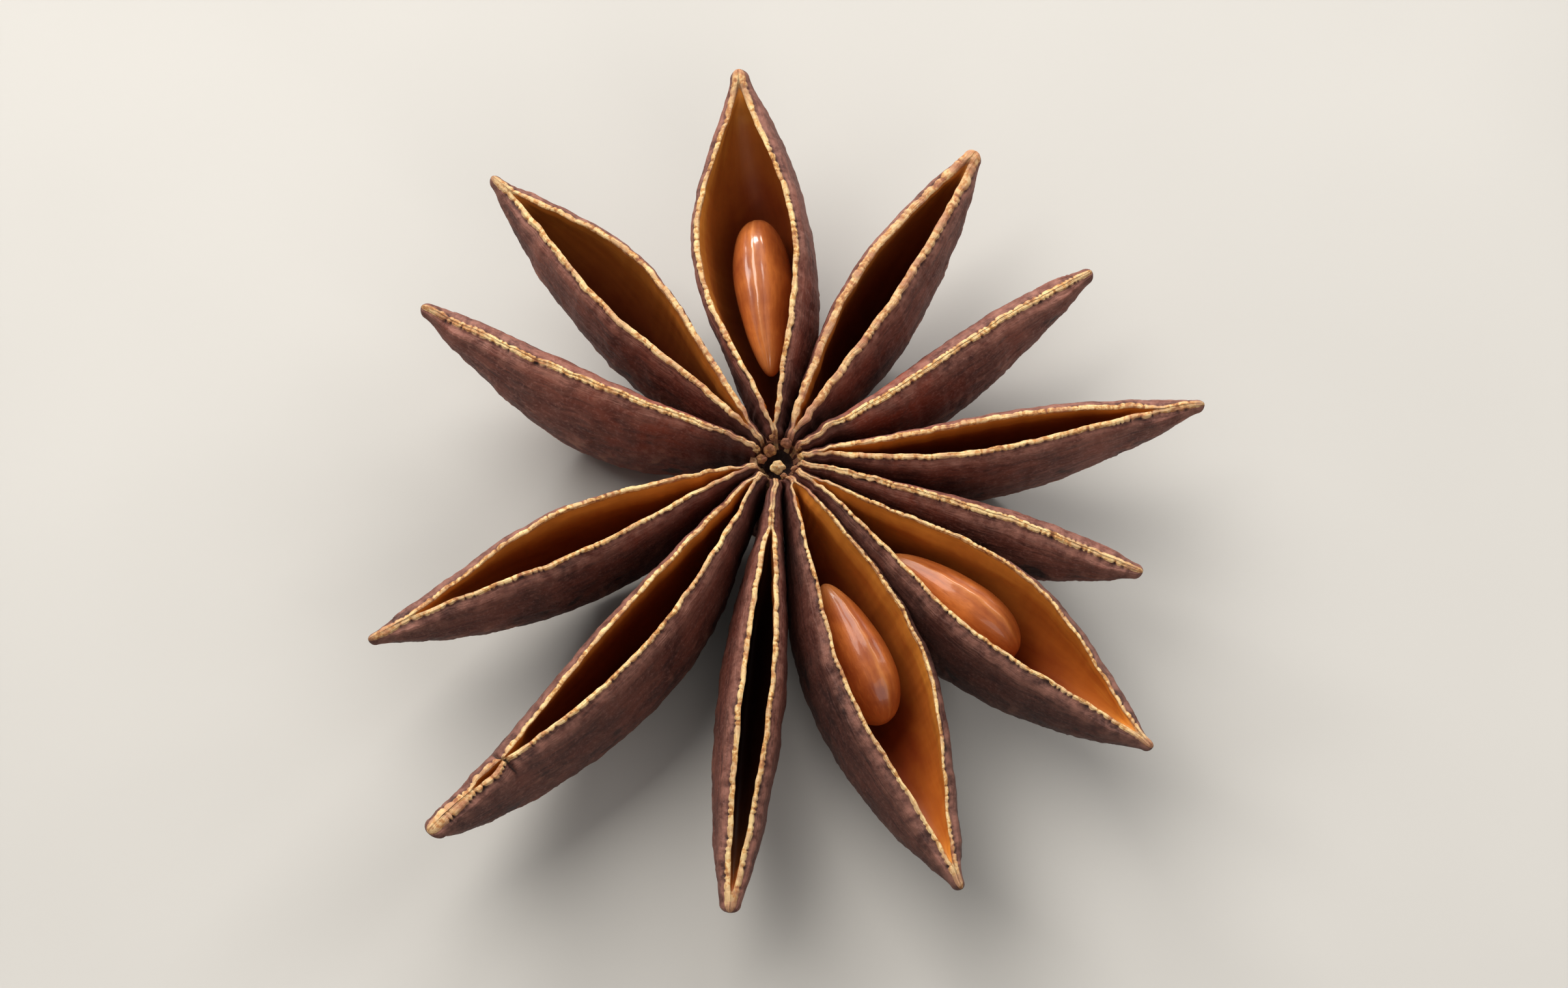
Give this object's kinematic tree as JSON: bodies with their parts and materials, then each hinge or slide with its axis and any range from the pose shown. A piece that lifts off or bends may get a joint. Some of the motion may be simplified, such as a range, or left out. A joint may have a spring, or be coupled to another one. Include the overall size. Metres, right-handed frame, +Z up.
{
  "type": "star anise",
  "caption": "Dried star anise: woody boat-shaped pods round a short column, some gaping and still holding a glossy oval seed.",
  "frame": {"origin": "middle of the bounding box, on the ground that the keels rest on", "axes": "+Z up out of the open side of the pods; +Y towards the pod at the top of the star as it is seen from above, +X to the right of it"},
  "size_m": [0.0396, 0.0415, 0.0088],
  "materials": {
    "husk": "dry woody skin, matte outside and satin inside",
    "seed": "smooth glossy seed coat"
  },
  "bodies": {
    "root": {"husk": "husk", "seed_1": "seed", "seed_2": "seed", "seed_3": "seed"}
  },
  "joints": []
}
